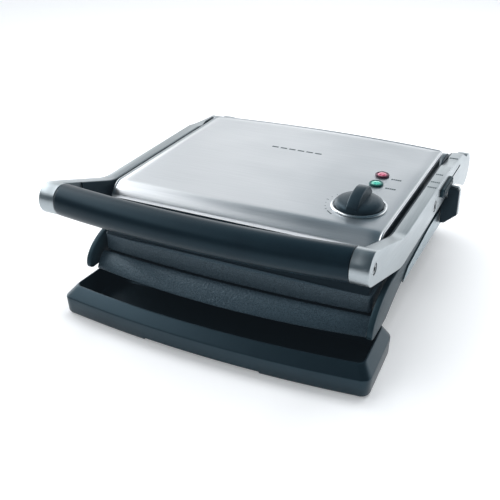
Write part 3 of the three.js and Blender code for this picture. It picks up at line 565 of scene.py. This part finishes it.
# ---------------------------------------------------------------- dial
def dial():
    low, high = span("dial_ring")
    outer = (high.x - low.x) / 2
    base = low.z
    knob_low, knob_high = span("dial_knob")
    radius = (knob_high.x - knob_low.x) / 2
    seat = radius + 0.5
    ring = [
        (seat - 8, base), (outer, base), (outer - 0.1, base + 0.8), (outer - 0.6, base + 1.7),
        (outer - 1.4, base + 2.3), (outer - 2.2, base + 2.4), (seat + 0.3, base + 1.9), (seat, base + 1.2),
        (seat, base + 0.8), (seat - 8, base + 0.8),
    ]  # fmt: skip
    flat = Vector((DIAL.x, DIAL.y, 0))
    bright = MATERIALS["brushed_trim"]
    add("dial_ring_bead", turned(ring, flat, facets=96), "lid", bright, ("dial_ring",), 50)
    floor = knob_low.z
    disc = [
        (0, floor), (radius - 0.4, floor), (radius, floor + 0.4), (radius, floor + 1.5),
        (radius - 0.5, floor + 3.0), (radius - 1.6, floor + 4.7), (radius - 3.6, floor + 6.2), (radius - 6.6, floor + 7.2),
        (radius - 12, floor + 7.9), (0, floor + 8.3),
    ]  # fmt: skip
    knob = object_from(turned(disc, flat, facets=96), "dial_knob_body")
    combine(knob, object_from(dial_fin(floor, knob_high.z, radius), "fin"), "UNION")
    finished(knob, "dial", MATERIALS["dial"], ("dial_knob",), 50)
    dial_scale()


def dial_fin(floor, top, radius):
    """The arched grip across the knob."""
    arch = Path(DIAL.y - radius + 1.5, floor + 6.0)
    arch.curve((DIAL.y - 21, floor + 15), (DIAL.y - 12, top - 0.8), (DIAL.y + 4, top), 16)
    arch.curve((DIAL.y + 16, top - 0.2), (DIAL.y + 24, floor + 14), (DIAL.y + radius - 1.5, floor + 5), 16)
    base = floor + 2.0
    crown, shoulder = 6.5, 1.9
    rings = []
    for spot in arch.points:
        rise = spot.y - base
        along = (spot.x - DIAL.y) / radius
        flare = 3.2 * max(1 - along * along, 0.05)
        column = []
        for k in range(9):
            h = k / 8 * (rise - shoulder)
            column.append((crown + flare * (1 - h / rise) ** 4, base + h))
        for k in range(1, 6):
            angle = math.pi / 2 * k / 5
            wide = crown - shoulder * (1 - math.cos(angle))
            column.append((wide, base + rise - shoulder * (1 - math.sin(angle))))
        column.append((1.5, base + rise + 0.25))
        ring = [Vector((DIAL.x - wide, spot.x, z)) for wide, z in column]
        ring += [Vector((DIAL.x + wide, spot.x, z)) for wide, z in reversed(column)]
        rings.append(ring)
    return skin(rings)


SCALE_RADIUS = 36.4
SCALE_MARKS = (  # degrees round the dial, length
    (104, 2.2), (128, 1.2), (150, 1.2), (163, 1.2), (176, 2.6), (189, 1.2), (202, 1.2), (214, 1.8),
)  # fmt: skip


def dial_scale():
    bars = [scale_bar(degrees, SCALE_RADIUS, length, 0.9) for degrees, length in SCALE_MARKS]
    bars.append(scale_bar(229, SCALE_RADIUS - 0.5, 1.5, 9.5))
    add("dial_scale_bars", merged(*bars), "lid", MATERIALS["mark"])


def scale_bar(degrees, reach, length, width):
    bar = box_mesh((0, -width / 2, LID_TOP - 0.4), (length, width / 2, LID_TOP + 0.06), 0.05)
    turn = Matrix.Rotation(math.radians(degrees), 4, "Z")
    spot = Matrix.Translation((DIAL.x, DIAL.y, 0)) @ turn @ Matrix.Translation((reach, 0, 0))
    bmesh.ops.transform(bar, matrix=spot, verts=bar.verts)
    return bar


# ---------------------------------------------------------------- arms and handle
END_RADIUS = span("arm_right")[1].z - AXIS.z
LOBE_RADIUS = span("arm_right")[1].y - HINGE.y
HANDLE_SEAT, PIVOT_SEAT, HINGE_BORE = 6.0, 6.9, 6.5  # radii
SEAT_DEPTH = 3.0
SLOT_HALF, SLOT_DEPTH, CLIP_REACH = 1.5, 6, 58  # the height clip's slot


def arm_outline():
    r, lobe = END_RADIUS, LOBE_RADIUS
    elbow, rear = LID_FRONT + 15, LID_REAR
    top, bottom = ARM_TOP, ARM_BOTTOM
    path = Path(AXIS.y - r * 0.33, AXIS.z - r * 0.944)
    path.line(elbow - 12, bottom + 4)
    path.bend((elbow, bottom), (elbow + 12, bottom), 10)
    path.line(rear - 40, bottom)
    path.bend((rear - 16, bottom), (rear + 6, bottom - 8), 10)
    path.line(HINGE.y - lobe * 0.574, HINGE.z - lobe * 0.819)
    path.arc((HINGE.y, HINGE.z), lobe, math.pi * -0.694, math.pi * 0.6)
    path.line(rear + 22, top - 7)
    path.bend((rear - 20, top - 5), (rear - 46, top), 12)
    path.line(elbow + 14, top)
    path.bend((elbow + 2, top), (elbow - 12, top + 5), 10)
    path.line(AXIS.y + r * 0.352, AXIS.z + r * 0.936)
    path.arc((AXIS.y, AXIS.z), r, math.pi * 0.386, math.pi * 1.392, 60)
    return tidy_loop(path.points)


def rod_x(radius, xa, xb, y, z, facets=64):
    low, high = sorted((xa, xb))
    return turned([(0, low), (radius, low), (radius, high), (0, high)], (0, y, z), "x", facets)


def arm(side, s):
    outline = slab_x(arm_outline(), MID + s * ARM_IN, MID + s * ARM_OUT, 0.9)
    plate = object_from(outline, f"arm_{side}_casting")
    grip_low, grip_high = span("handle_grip")
    grip_half = (grip_high.x - grip_low.x) / 2 + 0.4
    near, far = MID + s * grip_half, MID + s * (ARM_IN + 4)
    r, edge = END_RADIUS, 0.5
    collar = [(0, near), (r - edge, near), (r, near + s * edge), (r, far), (0, far)][::s]
    combine(plate, object_from(turned(collar, (0, AXIS.y, AXIS.z), "x", 120), "collar"), "UNION")
    seats = [
        seat(HANDLE_SEAT, s, AXIS),
        seat(PIVOT_SEAT, s, PIVOT),
        rod_x(HINGE_BORE, MID + s * (ARM_IN - 1), MID + s * (ARM_OUT - 3), HINGE.y, HINGE.z),
    ]
    if side == "right":
        low, high = span("height_clip")
        z = (low.z + high.z) / 2 - 3
        front, rear = low.y + 2, high.y + CLIP_REACH
        slot = Path(front, z - SLOT_HALF).line(rear, z - SLOT_HALF)
        slot.line(rear, z + SLOT_HALF).line(front, z + SLOT_HALF)
        seats.append(slab_x(slot.points, MID + ARM_OUT - SLOT_DEPTH, MID + ARM_OUT + 1, 0.2))
    combine(plate, object_from(merged(*seats), "seats"), "DIFFERENCE")
    finished(plate, "arms", MATERIALS["cast_arm"], (f"arm_{side}",), 34)
    for name, head in (("handle_screw", 5.4), ("lid_pivot_bolt", 6.3)):
        socket_screw(f"{name}_{side}", s, head)


def seat(radius, s, centre):
    return rod_x(radius, MID + s * (ARM_OUT - SEAT_DEPTH), MID + s * (ARM_OUT + 1), centre.y, centre.z)


def socket_screw(node, s, radius):
    low, high = span(node)
    centre = (low + high) / 2
    outer = high.x if s > 0 else low.x
    inner = low.x if s > 0 else high.x
    head = outer - s * 2.2
    face = [
        (0, outer), (radius - 0.8, outer), (radius - 0.2, outer - s * 0.3), (radius, outer - s * 0.9),
        (radius, head),
    ]  # fmt: skip
    shank = [(3.0, head), (3.0, inner), (0, inner)]
    screw = object_from(turned(face + shank, (0, centre.y, centre.z), "x", 48), f"{node}_socket_head")
    socket = object_from(rod_x(radius * 0.5, outer + s, outer - s * 1.7, centre.y, centre.z, 6), "socket")
    combine(screw, socket, "DIFFERENCE")
    finished(screw, "arms", MATERIALS["dark_steel"], (node,), 30)


def handle_grip():
    low, high = span("handle_grip")
    half = (high.x - low.x) / 2
    radius = (high.z - low.z) / 2
    bow = AXIS.y - radius - low.y
    rings = []
    steps = 72
    facets = 72
    for i in range(steps + 1):
        t = 2 * i / steps - 1
        x = MID + half * t
        y = AXIS.y - bow * (1 - t * t)
        slope = 2 * bow * t / half
        tilt = math.atan(slope) if 0 < i < steps else 0
        ring = []
        for k in range(facets):
            angle = 2 * math.pi * k / facets
            out, up = radius * math.cos(angle), radius * math.sin(angle)
            ring.append(Vector((x - out * math.sin(tilt), y + out * math.cos(tilt), AXIS.z + up)))
        rings.append(ring)
    for end, step in ((0, 1), (-1, -1)):
        centre = sum(rings[end], Vector()) / facets
        rim = [centre + (p - centre) * (1 - 0.7 / radius) for p in rings[end]]
        shoulder = [p + (Vector((0.7, 0, 0)) * step) for p in rings[end]]
        rings[end] = shoulder
        rings = [rim] + rings if end == 0 else rings + [rim]
    add("handle_grip_tube", skin(rings), "arms", MATERIALS["grip"], ("handle_grip",), 40)


ARM_MARKS = ((153, 11), (82, 9), (58, 11), (42, 10))  # behind MARK_START, length across the arm
MARK_START = LID_FRONT + 110
MARK_PITCH = 2.2
SLOPE_START, SLOPE_DROP = 150, 5.2  # the arm's top is lower behind this


def arm_marks():
    bars = []
    for behind, length in ARM_MARKS:
        top = ARM_TOP - (SLOPE_DROP if behind > SLOPE_START else 0)
        for i in range(round(length / MARK_PITCH)):
            bars.append(plain_bar(MID + ARM_OUT - 12.2 + MARK_PITCH * i, MARK_START + behind, 1.8, 2.8, top))
    add("arm_mark_bars", merged(*bars), "arms", MATERIALS["mark"])


RULE_BARS, RULE_PITCH = 6, 12
RULE_LEFT, RULE_BACK = 41, 187  # from the lid's middle, and from its front edge


def lid_rule():
    """A plain broken line of equal bars on the lid."""
    start, y = MID - RULE_LEFT, LID_FRONT + RULE_BACK
    bars = [plain_bar(start + RULE_PITCH * i, y, 9, 3, LID_TOP) for i in range(RULE_BARS)]
    add("lid_rule", merged(*bars), "lid", MATERIALS["mark"])


CLIP_BARS = 11


def height_clip():
    low, high = span("height_clip")
    face = MID + ARM_OUT + 0.4
    z = low.z
    pad = Path(low.y, z + 2.2).bend((low.y, z), (low.y + 2.2, z), 5).line(high.y - 2.2, z)
    pad.bend((high.y, z), (high.y, z + 2.2), 5).line(high.y, high.z - 3)
    pad.bend((high.y, high.z), (high.y - 3, high.z), 5).line(low.y + 3, high.z)
    pad.bend((low.y, high.z), (low.y, high.z - 3), 5)
    parts = [slab_x(pad.points, face, high.x - 1.1, 0.4)]
    for i in range(CLIP_BARS):
        y = low.y + 4 + (high.y - low.y - 8) * i / (CLIP_BARS - 1)
        parts.append(box_mesh((high.x - 1.6, y - 1.1, z + 1.2), (high.x, y + 1.1, high.z - 1.0), 0.5))
    parts.append(box_mesh((low.x, low.y + 5, z + 1.2), (face + 1, high.y - 4, z + 3.2), 0.2))
    grey = MATERIALS["grey_moulding"]
    add("height_clip_pad", merged(*parts), "height_clip", grey, ("height_clip",))


# ---------------------------------------------------------------- drip tray and base
TRAY_TAPER = 0.03  # share of the tray's width lost from its front to its rear
RECESS_HALF = 72  # finger recess under the tray's front
CHEEK_FRONT, CHEEK_REAR = 24.6, 30.2  # the cheek's height at each end of its lower edge


def drip_tray():
    low, high = span("drip_tray")
    half = (high.x - low.x) / 2 / (1 - TRAY_TAPER * 0.2)
    bow = 11
    front, rear = low.y + bow, high.y
    rim, shoulder = high.z, low.z + 21.9
    side_in, front_in, wall = 9.5, 12, 3
    levels = [  # height, side inset, front inset
        (low.z, 4.0, 4.0), (low.z + 0.5, 2.5, 2.5), (low.z + 1.4, 1.4, 1.4), (low.z + 3.2, 0.7, 0.7),
        (shoulder - 0.8, 0, 0), (shoulder + 0.1, 0.15, 0.2), (shoulder + 0.8, 0.6, 0.8),
        (rim - 1.0, side_in - 0.7, front_in - 0.9), (rim - 0.35, side_in - 0.1, front_in - 0.1),
        (rim, side_in + 0.7, front_in + 0.8), (rim - 0.2, side_in + 1.5, front_in + 1.6),
        (rim - 1.2, side_in + 2.1, front_in + 2.2), (low.z + 8, side_in + wall + 0.6, front_in + wall),
        (low.z + 4.4, side_in + wall + 2.2, front_in + wall + 1.6),
        (low.z + 3, side_in + wall + 6, front_in + wall + 5),
    ]  # fmt: skip
    rings = []
    for z, side, ahead in levels:
        loop = plan(half - side, rear - side / 2, front + ahead, max(13 - side / 3, 6), bow, 9)
        narrow = [1 - TRAY_TAPER * (p.y - low.y) / (rear - low.y) for p in loop]
        rings.append([Vector((MID + (p.x - MID) * n, p.y, z)) for p, n in zip(loop, narrow)])
    tray = object_from(skin(rings), "drip_tray_shell")
    recess_low = (MID - RECESS_HALF, low.y - 10, low.z - 4)
    recess = box_mesh(recess_low, (MID + RECESS_HALF, front + 4, low.z + 3.8), 1.2)
    combine(tray, object_from(recess, "recess"), "DIFFERENCE")
    finished(tray, "drip_tray", MATERIALS["tray_moulding"], ("drip_tray",), 30)


def side_panels():
    for side, s in SIDES:
        low, high = span(f"side_panel_{side}")
        top, nose, rear = high.z, low.y, high.y
        foot, under = low.z, high.z - CHEEK_FRONT
        path = Path(nose + 7, foot).bend((nose, foot), (nose, foot + 6), 8)
        path.curve((nose + 1, top - 18), (nose + 25, top - 3), (nose + 58, top), 24)
        path.line(rear - 10, top).bend((rear, top), (rear, top - 10), 8).line(rear, top - CHEEK_REAR)
        path.line(LID_FRONT + 53, under).bend((LID_FRONT + 34, under - 4), (LID_FRONT, foot), 12)
        bm = slab_x(path.points, low.x, high.x, 1.4)
        grey = MATERIALS["grey_moulding"]
        add(f"side_panel_{side}_cheek", bm, "base", grey, (f"side_panel_{side}",), 34)
        refined(f"side_strip_{side}", "base", STRIP, 0.3)


def feet():
    for row in ("front", "rear"):
        for side, _ in SIDES:
            node = f"foot_{row}_{side}"
            low, high = span(node)
            centre = (low + high) / 2
            centre.z = 0
            top = high.z
            profile = [
                (0, 0), (10.2, 0), (11, 0.3), (11.7, 1.2), (12.4, 1.9), (12.2, 3.4), (11.8, top - 0.5),
                (11.3, top), (0, top),
            ]  # fmt: skip
            add(f"{node}_pad", turned(profile, centre), "base", MATERIALS["rubber"], (node,), 40)


REFINED = {
    "base": {
        "stop_pillar": 0.8, "stop_pillar_cover": 0.5, "base_pan": 1.2, "rear_panel": 0.6, "rear_cover": 1.0,
        "hinge_bracket_left": 0.8, "hinge_bracket_right": 0.8, "lower_plate": 0.5, "cord_gland": 0.5,
    },
    "lid": {"upper_plate": 0.9, "lid_skirt": 0.6},
    "arms": {"arm_liner_left": 0.5, "arm_liner_right": 0.5},
}  # fmt: skip

lid_cover()
light("power", "red_lens")
light("ready", "green_lens")
dial()
for side_name, sign in SIDES:
    arm(side_name, sign)
handle_grip()
arm_marks()
lid_rule()
height_clip()
drip_tray()
side_panels()
feet()
slot_of = {part["node"]: part["material_slot"] for part in frame["record"]["subparts"]}
for body_name, wanted in REFINED.items():
    for node_name, rim_width in wanted.items():
        slot_name = slot_of[node_name]
        refined(node_name, body_name, MATERIALS[slot_name], rim_width)
for node_name, node_object in frame["nodes"].items():
    node_object.data.materials.clear()
    node_object.data.materials.append(MATERIALS[slot_of[node_name]])


# ---------------------------------------------------------------- camera, light and floor
CAMERA_FROM_HINGE = Vector((352.3, -987.9, 410.9))
CAMERA_AZIMUTH, CAMERA_ELEVATION, CAMERA_ROLL = 26.66, 29.04, -0.81
LENS_MM, SENSOR_MM = 54.98, 36.0
ROOM = 0.11  # light from every side
FLOOR_HALF, FLOOR_DROP, FLOOR_GLOW = 6, 0.0002, 0.28  # metres, metres, emission
KEY_AT, KEY_AIM, KEY_SIZE = (0.02, 0.42, 1.45), (0, 0, 0.05), (1.5, 1.5)  # metres
KEY_ENERGY, KEY_COLOUR = 26, (0.98, 0.99, 1.0)


def add_camera():
    data = bpy.data.cameras.new("camera")
    data.lens, data.sensor_width = LENS_MM, SENSOR_MM
    camera = bpy.data.objects.new("camera", data)
    turn = Matrix.Rotation(math.radians(CAMERA_AZIMUTH), 4, "Z")
    tilt = Matrix.Rotation(math.radians(90 - CAMERA_ELEVATION), 4, "X")
    roll = Matrix.Rotation(math.radians(CAMERA_ROLL), 4, "Z")
    at = (Vector((MID, HINGE.y, HINGE.z)) + CAMERA_FROM_HINGE) * MM
    camera.matrix_world = Matrix.Translation(at) @ turn @ tilt @ roll
    bpy.context.scene.collection.objects.link(camera)
    bpy.context.scene.camera = camera


def area(name, at, aim, size, energy, colour):
    data = bpy.data.lights.new(name, "AREA")
    data.shape = "RECTANGLE"
    data.size, data.size_y = size
    data.energy = energy
    data.color = colour
    lamp = bpy.data.objects.new(name, data)
    lamp.location = at
    lamp.visible_glossy = False
    lamp.rotation_euler = (Vector(aim) - Vector(at)).to_track_quat("-Z", "Y").to_euler()
    bpy.context.scene.collection.objects.link(lamp)


def add_world():
    """A backdrop low behind the object, a softbox overhead on the left, a glow at the far left and a
    dim room. The ramp tints what is weak blue."""
    world = bpy.data.worlds.new("studio")
    bpy.context.scene.world = world
    world.use_nodes = True
    nodes, links = world.node_tree.nodes, world.node_tree.links
    where = nodes.new("ShaderNodeTexCoord")

    def facing(direction, low, high, weak, strong):
        """Light that grows from weak to strong as the ray's direction turns towards direction."""
        dot = nodes.new("ShaderNodeVectorMath")
        dot.operation = "DOT_PRODUCT"
        dot.inputs[1].default_value = Vector(direction).normalized()
        ramp = nodes.new("ShaderNodeMapRange")
        ramp.interpolation_type = "SMOOTHSTEP"
        for socket, value in zip(RANGE_SOCKETS, (low, high, weak, strong)):
            ramp.inputs[socket].default_value = value
        links.new(where.outputs["Generated"], dot.inputs[0])
        links.new(dot.outputs["Value"], ramp.inputs["Value"])
        return ramp.outputs["Result"]

    def combined(operation, a, b):
        node = nodes.new("ShaderNodeMath")
        node.operation = operation
        links.new(a, node.inputs[0])
        links.new(b, node.inputs[1])
        return node.outputs["Value"]

    behind = facing((0, 1, 0), 0.0, 0.6, 0.0, 1.0)
    low_down = facing((0, 0, 1), 0.28, 0.6, 1.45, 0.1)
    right_of_left = facing((-1, 0, 0), 0.38, 0.56, 1.0, 0.5)
    backdrop = combined("MULTIPLY", combined("MULTIPLY", behind, low_down), right_of_left)
    above = facing((0, 0, 1), 0.42, 0.68, 0.0, 1.0)
    ahead = facing((0, -1, 0), -0.6, -0.35, 0.0, 1.0)
    broad = facing((-1, 0, -0.45), 0.0, 0.16, 0.0, 1.15)
    strong = combined("MULTIPLY", facing((-1, 0, -0.45), 0.15, 0.34, 0.0, 2.6), ahead)
    softbox = combined("MULTIPLY", combined("ADD", broad, strong), above)
    glow = facing((-0.94, 0.33, 0.1), 0.8, 0.93, ROOM, ROOM + 2.4)
    total = combined("ADD", combined("ADD", backdrop, softbox), glow)
    tint = nodes.new("ShaderNodeValToRGB")
    tint.color_ramp.elements[0].position = 0.1
    tint.color_ramp.elements[0].color = (0.5, 0.8, 1.0, 1)
    tint.color_ramp.elements[1].position = 0.8
    tint.color_ramp.elements[1].color = (0.97, 0.985, 1.0, 1)
    links.new(total, tint.inputs["Fac"])
    links.new(tint.outputs["Color"], nodes["Background"].inputs["Color"])
    links.new(total, nodes["Background"].inputs["Strength"])


def add_floor():
    bm = bmesh.new()
    bmesh.ops.create_grid(bm, x_segments=1, y_segments=1, size=FLOOR_HALF)
    mesh = bpy.data.meshes.new("floor")
    bm.to_mesh(mesh)
    bm.free()
    floor = bpy.data.objects.new("floor", mesh)
    floor.location.z = -FLOOR_DROP
    look = Look("floor_white", 0.9)
    look.shader.inputs["Base Color"].default_value = (0.8, 0.8, 0.81, 1)
    look.emit((1, 1, 1), FLOOR_GLOW)
    floor.data.materials.append(look.material)
    bpy.context.scene.collection.objects.link(floor)


add_camera()
add_world()
add_floor()
bpy.context.scene.view_settings.view_transform = "Standard"
area("key", KEY_AT, KEY_AIM, KEY_SIZE, KEY_ENERGY, KEY_COLOUR)
